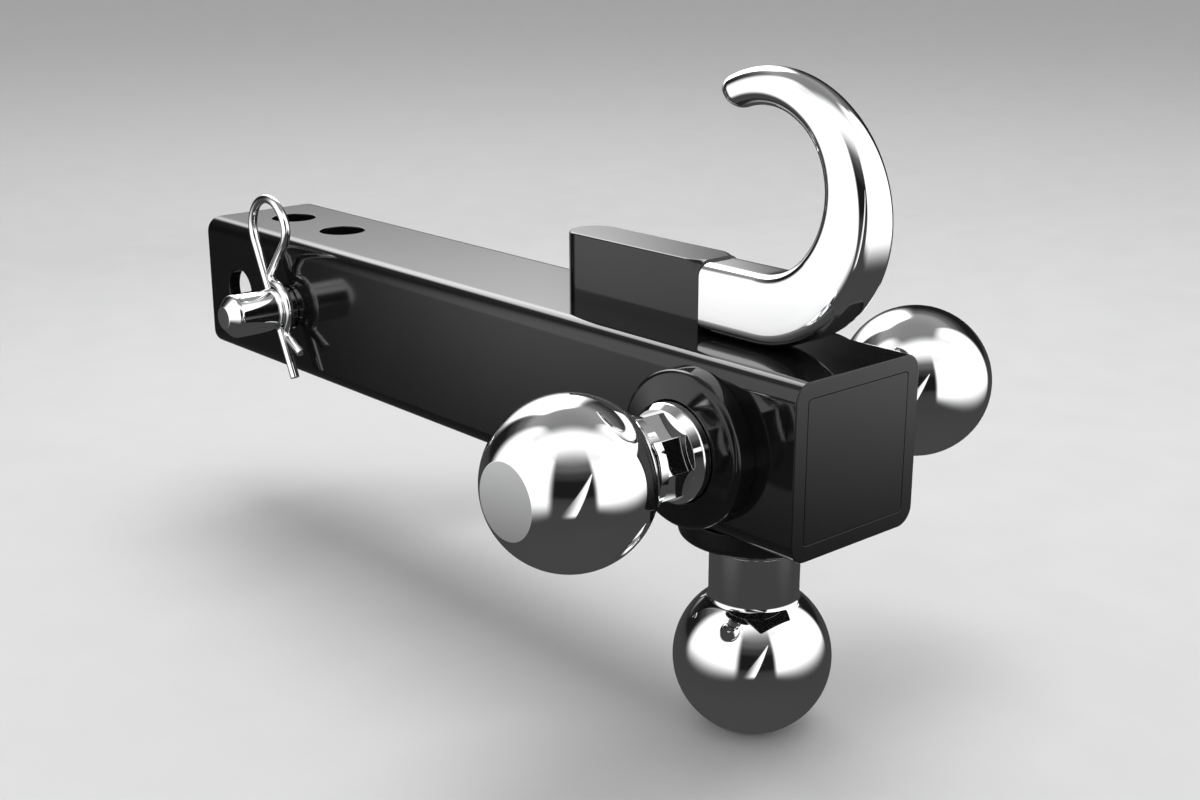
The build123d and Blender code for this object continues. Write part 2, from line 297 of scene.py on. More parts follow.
def holed(shell, us, vs, holes, place, rings=3):
    """A patch over a (u, v) grid with round openings. Returns the angles round each opening."""
    uu, vv = np.meshgrid(us, vs, indexing="ij")
    pts, nrm = place(uu, vv)
    free = np.ones((len(us) - 1, len(vs) - 1), bool)
    for hole in holes:
        i0, i1, j0, j1 = hole["block"]
        free[i0:i1, j0:j1] = False
    index = np.arange(len(us) * len(vs)).reshape(len(us), len(vs)) + shell.count
    quads = np.stack([index[:-1, :-1], index[1:, :-1], index[1:, 1:], index[:-1, 1:]], -1)[free]
    corner = np.stack([nrm[:-1, :-1], nrm[1:, :-1], nrm[1:, 1:], nrm[:-1, 1:]], 2)[free]
    shell.points.append(pts.reshape(-1, 3))
    shell.faces.append(quads)
    shell.normals.append(corner)
    shell.count += len(us) * len(vs)
    angles = []
    for hole in holes:
        i0, i1, j0, j1 = hole["block"]
        loop = (
            [(i, j0) for i in range(i0, i1)]
            + [(i1, j) for j in range(j0, j1)]
            + [(i, j1) for i in range(i1, i0, -1)]
            + [(i0, j) for j in range(j1, j0, -1)]
        )
        loop.append(loop[0])
        edge = np.array([(us[i], vs[j]) for i, j in loop])
        psi = np.unwrap(np.arctan2(edge[:, 1] - hole["v"], edge[:, 0] - hole["u"]))
        ring = hole["ring"](psi)
        f = np.linspace(0, 1, rings + 1)[:, None, None]
        between = ring[None] * (1 - f) + edge[None] * f
        shell.grid(*place(between[..., 0], between[..., 1]))
        angles.append(psi)
    return angles


# ---------------------------------------------------------------- shank tube

WALL_CELLS = 16
BLOCK_CELLS = (3, 13)
HOLE_CELLS = 10
REST_CELLS = 24
CORNER_STEPS = 10
HOLE_BLOCK = 12.5
WALLS = [(-Y, Z), (Z, Y), (Y, -Z), (-Z, -Y)]


def square_loop(half, radius):
    """Rounded square in the YZ plane as stretches of points and normals, wall by wall."""
    out = []
    for k in range(4):
        n, t = WALLS[k]
        n2 = WALLS[(k + 1) % 4][0]
        v = np.linspace(-1, 1, WALL_CELLS + 1)[:, None] * (half - radius)
        out.append((half * n + v * t, np.tile(n, (WALL_CELLS + 1, 1))))
        a = np.linspace(0, math.pi / 2, CORNER_STEPS + 1)[:, None]
        round_n = np.cos(a) * n + np.sin(a) * n2
        out.append(((half - radius) * (n + n2) + radius * round_n, round_n))
    return out


def tube_stations():
    """Positions along X shared by every wall, and the cell range of each cross hole."""
    blocks = []
    xs = [SHANK_X0 + EDGE]
    for centre in (FREE_X, PIN_X):
        cells = np.linspace(centre - HOLE_BLOCK, centre + HOLE_BLOCK, HOLE_CELLS + 1)
        blocks.append((len(xs), len(xs) + HOLE_CELLS))
        xs.extend(cells)
    xs.extend(np.linspace(PIN_X + HOLE_BLOCK, SHANK_X1 - EDGE, REST_CELLS + 1)[1:])
    return np.array(xs), blocks


def make_tube():
    """Square tube with rounded long edges, softened ends and cross holes with broken edges."""
    shell = Shell()
    xs, blocks = tube_stations()
    inner_half = HALF - WALL
    for half, radius, sign in ((HALF, CORNER_R, 1.0), (inner_half, INNER_R, -1.0)):
        for n, t in WALLS:
            span = half - radius
            vs = np.linspace(-span, span, WALL_CELLS + 1)

            def place(u, v, n=n, t=t, half=half, sign=sign):
                pts = u[..., None] * X + half * n + v[..., None] * t
                return pts, np.broadcast_to(n * sign, pts.shape)

            holes = []
            for centre, (i0, i1) in zip((FREE_X, PIN_X), blocks):
                r = CROSS_HOLE_R + EDGE

                def ring(psi, centre=centre, r=r):
                    return np.stack([centre + r * np.cos(psi), r * np.sin(psi)], -1)

                holes.append({"u": centre, "v": 0.0, "block": (i0, i1, *BLOCK_CELLS), "ring": ring})
            angles = holed(shell, xs, vs, holes, place)
            for centre, psi in zip((FREE_X, PIN_X), angles):
                radial = np.cos(psi)[:, None] * X + np.sin(psi)[:, None] * t
                middle = centre * X + half * n
                a = np.linspace(0, math.pi / 2, 7)[:, None, None]
                r = CROSS_HOLE_R + EDGE - EDGE * np.sin(a)
                depth = EDGE * (1 - np.cos(a)) * sign
                shell.grid(middle + r * radial - depth * n, np.cos(a) * sign * n - np.sin(a) * radial)
                if sign > 0:
                    f = np.linspace(EDGE, WALL - EDGE, 3)[:, None, None]
                    wall = middle + CROSS_HOLE_R * radial - f * n
                    shell.grid(wall, np.broadcast_to(-radial, wall.shape))
        for k in range(4):
            n, n2 = WALLS[k][0], WALLS[(k + 1) % 4][0]
            a = np.linspace(0, math.pi / 2, CORNER_STEPS + 1)[None, :, None]
            round_n = np.cos(a) * n + np.sin(a) * n2
            pts = xs[:, None, None] * X + (half - radius) * (n + n2) + radius * round_n
            shell.grid(pts, np.broadcast_to(round_n * sign, pts.shape))
    for end, out, seam in ((SHANK_X0, -1.0, EDGE), (SHANK_X1, 1.0, SEAM_EDGE)):
        outer = square_loop(HALF - EDGE, CORNER_R - EDGE)
        inner = square_loop(inner_half + seam, INNER_R + seam)
        bore = square_loop(inner_half, INNER_R)
        a = np.linspace(0, math.pi / 2, 6)[:, None, None]
        middle = (end - out * EDGE) * X
        for (op, on), (ip, inn), (bp, bn) in zip(outer, inner, bore):
            face = np.stack([op, ip]) + end * X
            shell.grid(face, np.broadcast_to(out * X, face.shape))
            shell.grid(
                middle + op + EDGE * (np.cos(a) * out * X + np.sin(a) * on),
                np.cos(a) * out * X + np.sin(a) * on,
            )
            shell.grid(
                (end - out * seam) * X + ip + seam * (np.cos(a) * out * X - np.sin(a) * inn),
                np.cos(a) * out * X - np.sin(a) * inn,
            )
            if seam < EDGE:
                strip = np.stack([bp + middle, bp + (end - out * seam) * X])
                shell.grid(strip, np.broadcast_to(-bn, strip.shape))
    return shell.build("shank_tube_shell")


def make_cap():
    """End plate with softened front edges, flush in the tube's end."""
    shell = Shell()
    half = HALF - WALL - CAP_CLEARANCE
    edge = SEAM_EDGE
    loops = square_loop(half - edge, INNER_R - edge)
    a = np.linspace(0, math.pi / 2, 6)[:, None, None]
    back = SHANK_X1 - CAP_THICKNESS
    for p, n in loops:
        front = p + (SHANK_X1 - edge) * X + edge * (np.cos(a) * X + np.sin(a) * n)
        shell.grid(front, np.cos(a) * X + np.sin(a) * n)
        side = np.stack([p + (SHANK_X1 - edge) * X + edge * n, p + back * X + edge * n])
        shell.grid(side, np.broadcast_to(n, side.shape))
        for x, out in ((SHANK_X1, 1.0), (back, -1.0)):
            rim = p if out > 0 else p + edge * n
            disc = np.stack([rim + x * X, np.zeros_like(rim) + x * X])
            shell.grid(disc, np.broadcast_to(out * X, disc.shape))
    return shell.build("end_cap_plate")


# ---------------------------------------------------------------- balls and bosses


def flatted_neck(shell, origin, axis, across):
    """Neck with eight wrench flats that flares out into the round neck."""
    axis = unit(axis)
    across = unit(across)
    other = np.cross(axis, across)
    half_turn = 180.0 / FLAT_SIDES
    centre_r = (FLAT_APOTHEM - FLAT_CORNER_R) / math.cos(math.radians(half_turn))
    pts = []
    nrm = []
    for k in range(FLAT_SIDES):
        corner = math.radians(FLAT_TURN + 2 * half_turn * k)
        for s in np.linspace(-half_turn, half_turn, 7):
            a = corner + math.radians(s)
            pts.append([centre_r * math.cos(corner) + FLAT_CORNER_R * math.cos(a),
                        centre_r * math.sin(corner) + FLAT_CORNER_R * math.sin(a)])
            nrm.append([math.cos(a), math.sin(a)])
        face = corner + math.radians(half_turn)
        nxt = corner + math.radians(2 * half_turn)
        first = np.array(pts[-1])
        last = np.array([centre_r * math.cos(nxt), centre_r * math.sin(nxt)])
        last = last + FLAT_CORNER_R * np.array([math.cos(face), math.sin(face)])
        for f in np.linspace(0, 1, 12)[1:-1]:
            pts.append(list(first * (1 - f) + last * f))
            nrm.append([math.cos(face), math.sin(face)])
    pts.append(pts[0])
    nrm.append(nrm[0])
    pts = np.array(pts)
    nrm = np.array(nrm)
    r = np.linalg.norm(pts, axis=1)
    direction = pts / r[:, None]
    slope = RUN_OUT / (RUN_OUT_R1 - RUN_OUT_R0)
    crease = WRENCH_END + np.maximum(r - RUN_OUT_R0, 0) * slope
    cone_start = np.maximum(r, RUN_OUT_R0)
    cone_top = WRENCH_END + (NECK_R - RUN_OUT_R0) * slope

    def spot(radius, height):
        flat = direction * radius[:, None]
        return np.asarray(origin) + flat[:, :1] * across + flat[:, 1:] * other + height[:, None] * axis

    side = nrm[:, :1] * across + nrm[:, 1:] * other
    radial = direction[:, :1] * across + direction[:, 1:] * other
    foot = COLLAR_TOP - NECK_SINK
    rows = [spot(r, foot + (crease - foot) * f) for f in np.linspace(0, 1, 7)]
    shell.grid(np.stack(rows), np.broadcast_to(side, (7, *side.shape)))
    ledge = np.stack([spot(r, crease), spot(cone_start, crease)])
    down = unit(radial * math.cos(math.atan(1 / slope)) - axis * math.sin(math.atan(1 / slope)))
    shell.grid(ledge, np.broadcast_to(down, ledge.shape))
    f = np.linspace(0, 1, 9)[:, None]
    rows = [spot(cone_start + (NECK_R - cone_start) * k, crease + (cone_top - crease) * k) for k in f[:, 0]]
    shell.grid(np.stack(rows), np.broadcast_to(down, (9, *down.shape)))
    top_h = BALL_OFFSET - math.sqrt((BALL_R + NECK_FILLET) ** 2 - (NECK_R + NECK_FILLET) ** 2)
    full = np.full(len(r), NECK_R)
    rows = [spot(full, np.full(len(r), h)) for h in np.linspace(cone_top, top_h, 3)]
    shell.grid(np.stack(rows), np.broadcast_to(radial, (3, *radial.shape)))


def make_ball(name, axis, across, flats):
    """Tow ball with a flat crown, a neck and a collar."""
    shell = Shell()
    origin = HEAD_X * X
    crown = BALL_OFFSET + math.sqrt(BALL_R ** 2 - BALL_FLAT_R ** 2)
    round_h = crown - CROWN_ROUND - BALL_OFFSET
    round_r = math.sqrt((BALL_R - CROWN_ROUND) ** 2 - round_h ** 2)
    crown_angle = math.degrees(math.atan2(round_h, round_r))
    fillet_r = NECK_R + NECK_FILLET
    fillet_h = math.sqrt((BALL_R + NECK_FILLET) ** 2 - fillet_r ** 2)
    root_angle = math.degrees(math.atan2(-fillet_h, fillet_r))
    neck_top = BALL_OFFSET - fillet_h
    stretches = [
        line2((0, crown), (round_r, crown), 6),
        arc2((round_r, crown - CROWN_ROUND), CROWN_ROUND, 90, crown_angle, 5),
        arc2((0, BALL_OFFSET), BALL_R, crown_angle, root_angle, 150),
        arc2((fillet_r, neck_top), NECK_FILLET, root_angle + 180, 180, 10),
    ]
    if not flats:
        root = COLLAR_FRONT + NECK_ROOT_R
        stretches.append(line2((NECK_R, neck_top), (NECK_R, root), 4))
        stretches.append(arc2((NECK_R + NECK_ROOT_R, root), NECK_ROOT_R, 180, 270, 6))
        lathe(shell, stretches, origin, axis, across)
        collar = rounded2(
            [
                (NECK_R + NECK_ROOT_R, COLLAR_FRONT),
                (COLLAR_R, COLLAR_FRONT),
                (COLLAR_R, COLLAR_BACK),
                (0, COLLAR_BACK),
            ],
            [COLLAR_FRONT_EDGE, COLLAR_BACK_EDGE],
        )
    else:
        lathe(shell, stretches, origin, axis, across)
        flatted_neck(shell, origin, axis, across)
        collar = rounded2(
            [
                (0, COLLAR_TOP),
                (COLLAR_TOP_R, COLLAR_TOP),
                (COLLAR_R, COLLAR_FRONT),
                (COLLAR_R, COLLAR_BACK),
                (0, COLLAR_BACK),
            ],
            [COLLAR_TOP_EDGE, COLLAR_SHOULDER_R, COLLAR_BACK_EDGE],
        )
    lathe(shell, collar, origin, axis, across)
    return shell.build(name)


def make_boss(name, axis, across):
    """Round boss with a rounded edge, a gently sloping face and a recess for the washer."""
    shell = Shell()
    profile = rounded2(
        [
            (BOSS_BORE_R, BOSS_SEAT),
            (BOSS_SEAT_R, BOSS_SEAT),
            (BOSS_SEAT_R, BOSS_FACE),
            (BOSS_R, BOSS_EDGE),
            (BOSS_R, HALF),
            (BOSS_BORE_R, HALF),
            (BOSS_BORE_R, BOSS_SEAT),
        ],
        [BOSS_SEAT_ROUND, BOSS_LIP_ROUND, BOSS_EDGE_ROUND, BOSS_FOOT_ROUND, 0.0],
    )
    lathe(shell, profile, HEAD_X * X, axis, across)
    return shell.build(name)


# ---------------------------------------------------------------- hook and block


def section_loop(width, depth, radius, flat_cells=6, arc_steps=12):
    """Rounded rectangle as one closed loop of (y, d) points."""
    pts = []
    hw, hd = width / 2 - radius, depth / 2 - radius
    for sy, sd, start in ((1, 1, 0), (-1, 1, 90), (-1, -1, 180), (1, -1, 270)):
        for a in np.radians(np.linspace(start, start + 90, arc_steps + 1)):
            pts.append((sy * hw + radius * math.cos(a), sd * hd + radius * math.sin(a)))
        nxt = {(1, 1): (-1, 1), (-1, 1): (-1, -1), (-1, -1): (1, -1), (1, -1): (1, 1)}[(sy, sd)]
        last = np.array(pts[-1])
        a = math.radians(start + 90)
        first = np.array([nxt[0] * hw + radius * math.cos(a), nxt[1] * hd + radius * math.sin(a)])
        for f in np.linspace(0, 1, flat_cells + 1)[1:-1]:
            pts.append(tuple(last * (1 - f) + first * f))
    return np.array(pts)


def hook_frame(angle):
    """Centre, outward direction, depth, width and edge radius of the bend at an angle."""
    a = math.radians(angle)
    outer = np.array([HOOK_BEND_X + HOOK_OUTER_R * math.cos(a), 0,
                      HOOK_BOTTOM + HOOK_OUTER_R + HOOK_OUTER_R * math.sin(a)])
    inner = np.array([HOOK_INNER_X + HOOK_INNER_R * math.cos(a), 0,
                      HOOK_TOP + HOOK_INNER_R + HOOK_INNER_R * math.sin(a)])
    across = outer - inner
    length = float(np.linalg.norm(across))
    out = across / length
    thin = max(0.0, (angle - HOOK_THIN_FROM) / (HOOK_TIP_ANGLE - HOOK_THIN_FROM))
    depth = length * (1 - HOOK_THIN * thin ** HOOK_THIN_POWER)
    swing = (angle + 90) / (HOOK_TIP_ANGLE + 90)
    width = HOOK_WIDTH * (1 - HOOK_NARROW * max(0.0, swing - HOOK_NARROW_FROM) / (1 - HOOK_NARROW_FROM))
    roundness = min(1.0, max(0.0, (angle - HOOK_ROUND_FROM) / HOOK_ROUND_SPAN))
    roundness = roundness * roundness * (3 - 2 * roundness)
    edge = HOOK_EDGE_R + (HOOK_FULL_ROUND * min(width, depth) - HOOK_EDGE_R) * roundness
    return outer - out * depth / 2, out, depth, width, edge


def make_hook():
    """Tow hook: a straight rounded bar, then a bend that thins to a round tip."""
    shell = Shell()
    rows = []
    middle = (HOOK_BOTTOM + HOOK_TOP) / 2
    for x in np.linspace(BLOCK_X1 + HOOK_GAP, HOOK_BEND_X - 0.4, 12):
        loop = section_loop(HOOK_WIDTH, HOOK_TOP - HOOK_BOTTOM, HOOK_EDGE_R)
        rows.append(np.array([x, 0, middle]) + loop[:, :1] * Y - loop[:, 1:] * Z)
    for angle in np.linspace(-90, HOOK_TIP_ANGLE, 150):
        centre, out, depth, width, edge = hook_frame(angle)
        loop = section_loop(width, depth, edge)
        rows.append(centre + loop[:, :1] * Y + loop[:, 1:] * out)
    for t in np.radians(np.linspace(4, 90, 24)):
        centre, out, depth, width, edge = hook_frame(HOOK_TIP_ANGLE + HOOK_TIP_SWING * math.sin(t))
        k = max(math.cos(t), 1e-5)
        loop = section_loop(width * k, depth * k, edge * k)
        rows.append(centre + loop[:, :1] * Y + loop[:, 1:] * out)
    pts = np.stack(rows)
    along = np.gradient(pts, axis=0)
    loops = np.concatenate([pts[:, -1:], pts, pts[:, :1]], axis=1)
    round_ = (loops[:, 2:] - loops[:, :-2]) / 2
    nrm = unit(np.cross(along, round_))
    centre = pts.mean(1, keepdims=True)
    nrm = np.where(np.sum(nrm * (pts - centre), -1, keepdims=True) < 0, -nrm, nrm)
    tip = unit(pts[-1].mean(0) - pts[-3].mean(0))
    nrm[-1] = tip
    pts = np.concatenate([pts, pts[:, :1]], axis=1)
    nrm = np.concatenate([nrm, nrm[:, :1]], axis=1)
    shell.grid(pts, nrm)
    start = np.stack([pts[0], np.broadcast_to(pts[0].mean(0), pts[0].shape)])
    shell.grid(start, np.broadcast_to(-X, start.shape))
    return shell.build("tow_hook_bar")


def make_block():
    """Hook block: round back end, and a top edge that blends into the hook's rounding at the front."""
    shell = Shell()
    half = HOOK_WIDTH / 2
    end = BLOCK_END_ROUND
    outline = []
    for a in np.radians(np.linspace(180, 90, 25)):
        outline.append((BLOCK_X0 + half + half * math.cos(a), half * math.sin(a), math.cos(a), math.sin(a)))
    straight = np.linspace(BLOCK_X0 + half, BLOCK_X1 - BLOCK_BLEND, 12)[1:]
    blend = np.linspace(BLOCK_X1 - BLOCK_BLEND, BLOCK_X1 - end, 40)[1:]
    outline += [(x, half, 0.0, 1.0) for x in straight]
    plain = len(outline)
    outline += [(x, half, 0.0, 1.0) for x in blend]
    bottoms = []
    tops = []
    for s in (1, -1):
        plan = np.array(outline)
        plan[:, 1] *= s
        plan[:, 3] *= s
        share = np.clip((plan[:, 0] - (BLOCK_X1 - BLOCK_BLEND)) / BLOCK_BLEND, 0, 1)
        share = share * share * (3 - 2 * share)
        edge = (BLOCK_TOP_ROUND + (HOOK_EDGE_R - BLOCK_TOP_ROUND) * share)[:, None]
        p = np.column_stack([plan[:, 0], plan[:, 1], np.zeros(len(plan))])
        n = np.column_stack([plan[:, 2], plan[:, 3], np.zeros(len(plan))])
        f = np.linspace(0, 1, 5)[:, None, None]
        wall = p + (HALF + (BLOCK_TOP - edge - HALF) * f) * Z
        shell.grid(wall, np.broadcast_to(n, wall.shape))
        a = np.linspace(0, math.pi / 2, BLOCK_ROUND_POINTS)[:, None, None]
        ring = p - n * edge + (BLOCK_TOP - edge) * Z + edge * (np.cos(a) * n + np.sin(a) * Z)
        around = np.cos(a) * n + np.sin(a) * Z
        slope = unit(np.cross(np.gradient(ring, axis=0), np.gradient(ring, axis=1)))
        slope = np.where(np.sum(slope * around, -1, keepdims=True) < 0, -slope, slope)
        slope[0] = around[0]
        slope[-1] = around[-1]
        slope[:, :plain] = around[:, :plain]
        shell.grid(ring, slope)
        tops.append(ring[-1])
        rim = float(edge[-1, 0])
        loop = [(0.0, HALF, 0.0, 0.0)]
        loop += [(half, z, 1.0, 0.0) for z in wall[:, -1, 2]]
        for b in np.linspace(0, math.pi / 2, BLOCK_ROUND_POINTS)[1:]:
            loop.append((half - rim + rim * math.cos(b), BLOCK_TOP - rim + rim * math.sin(b),
                         math.cos(b), math.sin(b)))
        loop.append((0.0, BLOCK_TOP, 0.0, 1.0))
        loop = np.array(loop)
        body = loop[:, :1] * s * Y + loop[:, 1:2] * Z
        out = loop[:, 2:3] * s * Y + loop[:, 3:4] * Z
        t = np.linspace(0, math.pi / 2, 6)[:, None, None]
        cap = body + (BLOCK_X1 - end + end * np.sin(t)) * X - end * (1 - np.cos(t)) * out
        shell.grid(cap[:, 1:], (np.cos(t) * out + np.sin(t) * X)[:, 1:])
        hub = np.array([BLOCK_X1, 0.0, (HALF + BLOCK_TOP) / 2])
        face = np.stack([cap[-1], np.broadcast_to(hub, cap[-1].shape)])
        shell.grid(face, np.broadcast_to(X, face.shape))
        bottoms.append(np.concatenate([wall[0], cap[1:, 1]]))
    top = np.stack([tops[0], tops[0] * (X + Z), tops[1]])
    shell.grid(top, np.broadcast_to(Z, top.shape))
    base = np.stack([bottoms[0], bottoms[0] * (X + Z), bottoms[1]])
    shell.grid(base, np.broadcast_to(-Z, base.shape))
    return shell.build("hook_block_body")


# ---------------------------------------------------------------- pin and clip

MOUTH_BLOCK = 5.5
MOUTH_CELLS = 16


def make_pin():
    """Hitch pin: bevelled nose, clip hole, straight shank, bend and handle."""
    shell = Shell()
    cells = 64
    theta = np.linspace(-math.pi / 2, 3 * math.pi / 2, cells + 1)
    nose = rounded2(
        [(0, -PIN_TIP_Y), (PIN_TIP_R, -PIN_TIP_Y), (PIN_R, -PIN_TIP_Y - PIN_TIP_LENGTH), (PIN_R, 40.0)],
        [PIN_TIP_ROUND, PIN_BEVEL_ROUND],
    )
    radial = np.cos(theta)[:, None] * CLIP_UP + np.sin(theta)[:, None] * CLIP_SIDE
    for s in nose[:-1]:
        pts = s[:, None, 0:1] * radial - s[:, None, 1:2] * Y
        shell.grid(pts, s[:, None, 2:3] * radial - s[:, None, 3:4] * Y)
    start = -nose[-1][0, 1]

    def place(u, v):
        angle = v / PIN_R
        out = np.cos(angle)[..., None] * CLIP_UP + np.sin(angle)[..., None] * CLIP_SIDE
        return u[..., None] * Y + PIN_R * out, out

    us = np.concatenate([
        [start, start + 3],
        np.linspace(CLIP_Y - MOUTH_BLOCK, CLIP_Y + MOUTH_BLOCK, MOUTH_CELLS + 1),
        np.linspace(CLIP_Y + MOUTH_BLOCK, PIN_BEND_Y, 20)[1:],
    ])
    vs = theta * PIN_R
    holes = []
    rim = CLIP_HOLE_R + CLIP_HOLE_EDGE
    side = MOUTH_CELLS // 2
    for centre in (0.0, math.pi):
        j = int(round((centre + math.pi / 2) / (2 * math.pi) * cells))

        def ring(psi, centre=centre):
            lateral = rim * np.sin(psi)
            return np.stack([CLIP_Y + rim * np.cos(psi), PIN_R * (centre + np.arcsin(lateral / PIN_R))], -1)

        block = (2, 2 + MOUTH_CELLS, j - side, j + side)
        holes.append({"u": CLIP_Y, "v": centre * PIN_R, "block": block, "ring": ring})
    angles = holed(shell, us, vs, holes, place, rings=4)
    mouths = []
    for sign, psi in zip((1.0, -1.0), angles):
        out = np.cos(psi)[:, None] * Y + np.sin(psi)[:, None] * CLIP_SIDE * sign
        a = np.linspace(0, math.pi / 2, 5)[:, None, None]
        r = rim - CLIP_HOLE_EDGE * np.sin(a)
        lateral = r[..., 0] * np.sin(psi)
        height = np.sqrt(PIN_R ** 2 - lateral ** 2)[..., None] - CLIP_HOLE_EDGE * (1 - np.cos(a))
        pts = CLIP_Y * Y + r * out + sign * height * CLIP_UP
        surface = unit(sign * np.sqrt(PIN_R ** 2 - lateral ** 2)[..., None] * CLIP_UP
                       + sign * lateral[..., None] * CLIP_SIDE)
        shell.grid(pts, unit(np.cos(a) * surface - np.sin(a) * out))
        mouths.append((pts[-1], out))
    top, top_out = mouths[0]
    low, low_out = mouths[1]
    # The lower mouth runs the other way round, so each upper point meets the lower one beneath it.
    match = []
    for p in top:
        gap = low[:-1] - p
        gap = gap - (gap @ CLIP_UP)[:, None] * CLIP_UP
        match.append(int(np.argmin(np.linalg.norm(gap, axis=1))))
    wall = np.stack([top, low[match]])
    shell.grid(wall, np.broadcast_to(-top_out, wall.shape))
    down = -CLIP_UP
    rows = []
    normals = []
    for b in np.linspace(0, math.pi / 2, 32):
        centre = PIN_BEND_Y * Y + PIN_BEND_R * (math.sin(b) * Y + (1 - math.cos(b)) * down)
        up = math.cos(b) * CLIP_UP + math.sin(b) * Y
        out = np.cos(theta)[:, None] * up + np.sin(theta)[:, None] * CLIP_SIDE
        rows.append(centre + PIN_R * out)
        normals.append(out)
    shell.grid(np.stack(rows), np.stack(normals))
    base = PIN_BEND_Y * Y + PIN_BEND_R * (Y + down)
    out = np.cos(theta)[:, None] * Y + np.sin(theta)[:, None] * CLIP_SIDE
    tail = rounded2([(PIN_R, 0), (PIN_R, PIN_HANDLE), (0, PIN_HANDLE)], [PIN_END_ROUND], 12)
    for s in tail:
        pts = base + s[:, None, 0:1] * out + s[:, None, 1:2] * down
        nrm = -(s[:, None, 2:3] * out + s[:, None, 3:4] * down)
        shell.grid(pts, nrm)
    return shell.build("hitch_pin_rod")


def clip_path():
    """The clip's centreline in its own plane, as (side, up): lines and arcs that meet smoothly."""

    def arc(centre, radius, start, end):
        steps = max(8, int(abs(end - start) * math.pi / 180 * radius / CLIP_ARC_STEP))
        a = np.radians(np.linspace(start, end, steps + 1))
        return np.column_stack([centre[0] + radius * np.cos(a), centre[1] + radius * np.sin(a)])

    shoulder = (2 * CLIP_LOOP_R - CLIP_SHOULDER_R, CLIP_LEG_UP)
    waist_side = CLIP_WAIST_SIDE + CLIP_WAIST_R
    waist_up = math.sqrt((CLIP_BOW_R + CLIP_WAIST_R) ** 2 - waist_side ** 2)
    waist_angle = math.degrees(math.atan2(waist_up, waist_side))
    fall = (waist_side - shoulder[0], waist_up - shoulder[1])
    fall_turn = math.acos((CLIP_SHOULDER_R + CLIP_WAIST_R) / math.hypot(*fall))
    arm_angle = math.degrees(math.atan2(fall[1], fall[0]) + fall_turn)
    leg = np.column_stack([np.zeros(60), np.linspace(-CLIP_LEG_DOWN, CLIP_LEG_UP, 60)])
    eye = arc((CLIP_LOOP_R, CLIP_LEG_UP), CLIP_LOOP_R, 180, 0)
    bend_down = arc(shoulder, CLIP_SHOULDER_R, 0, arm_angle)
    waist = arc((waist_side, waist_up), CLIP_WAIST_R, arm_angle + 180, waist_angle + 180)
    bow = arc((0, 0), CLIP_BOW_R, waist_angle, -waist_angle)
    lower = arc((waist_side, -waist_up), CLIP_WAIST_R, 180 - waist_angle, CLIP_TAIL_ANGLE)
    f = np.linspace(0, 1, 24)[1:, None]
    arm = bend_down[-1] * (1 - f) + waist[0] * f
    turn = math.radians(CLIP_TAIL_ANGLE)
    tail = lower[-1] + f * CLIP_TAIL * np.array([-math.sin(turn), math.cos(turn)])
    return np.concatenate([leg, eye[1:], bend_down[1:], arm, waist[1:], bow[1:], lower[1:], tail])


def make_clip():
    """Spring clip of round wire, with softened wire ends."""
    shell = Shell()
    path = clip_path()
    tangent = unit(np.gradient(path, axis=0))
    tangent[0] = unit(path[1] - path[0])
    tangent[-1] = unit(path[-1] - path[-2])
    centre = CLIP_Y * Y + path[:, :1] * CLIP_SIDE + path[:, 1:] * CLIP_UP
    along = tangent[:, :1] * CLIP_SIDE + tangent[:, 1:] * CLIP_UP
    normal = -tangent[:, 1:] * CLIP_SIDE + tangent[:, :1] * CLIP_UP
    phi = np.linspace(0, 2 * math.pi, 41)
    out = np.cos(phi)[None, :, None] * normal[:, None] + np.sin(phi)[None, :, None] * Y
    e = CLIP_END_ROUND
    pull = np.zeros(len(path))
    pull[0], pull[-1] = e, -e
    body = centre + pull[:, None] * along
    shell.grid(body[:, None] + CLIP_WIRE_R * out, out)
    for k, sign in ((0, -1.0), (-1, 1.0)):
        a = np.linspace(0, math.pi / 2, 6)[:, None, None]
        ring = body[k] + (CLIP_WIRE_R - e) * out[k] + e * (np.cos(a) * out[k] + np.sin(a) * sign * along[k])
        shell.grid(ring, np.cos(a) * out[k] + np.sin(a) * sign * along[k])
        disc = np.stack([ring[-1], np.broadcast_to(ring[-1][:-1].mean(0), ring[-1].shape)])
        shell.grid(disc, np.broadcast_to(sign * along[k], disc.shape))
    return shell.build("hitch_clip_wire")


# ---------------------------------------------------------------- materials


